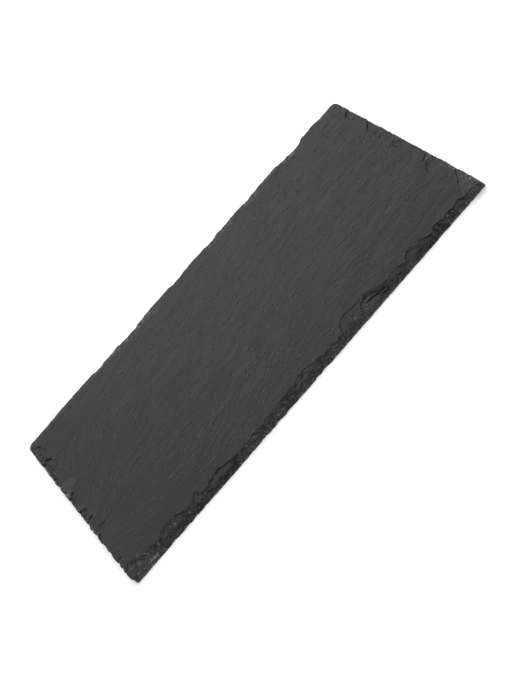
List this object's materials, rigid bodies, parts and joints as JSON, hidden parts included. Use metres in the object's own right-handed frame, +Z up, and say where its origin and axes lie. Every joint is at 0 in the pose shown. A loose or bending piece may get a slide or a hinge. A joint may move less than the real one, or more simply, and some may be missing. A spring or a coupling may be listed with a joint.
{
  "type": "terrarium slate slab",
  "caption": "Thin rectangular slab of riven dark grey slate with chipped, hand-dressed edges, laid flat as a ledge, step or planting base in a terrarium.",
  "frame": {"origin": "centre of the underside, on the surface that the slab lies on", "axes": "+X along the slab's length, +Y across it towards the scalloped long edge, +Z up out of the top face"},
  "size_m": [0.3, 0.125, 0.005],
  "materials": {
    "slate": "riven, matt to faint satin"
  },
  "bodies": {
    "root": {"slate_slab": "slate"}
  },
  "joints": []
}
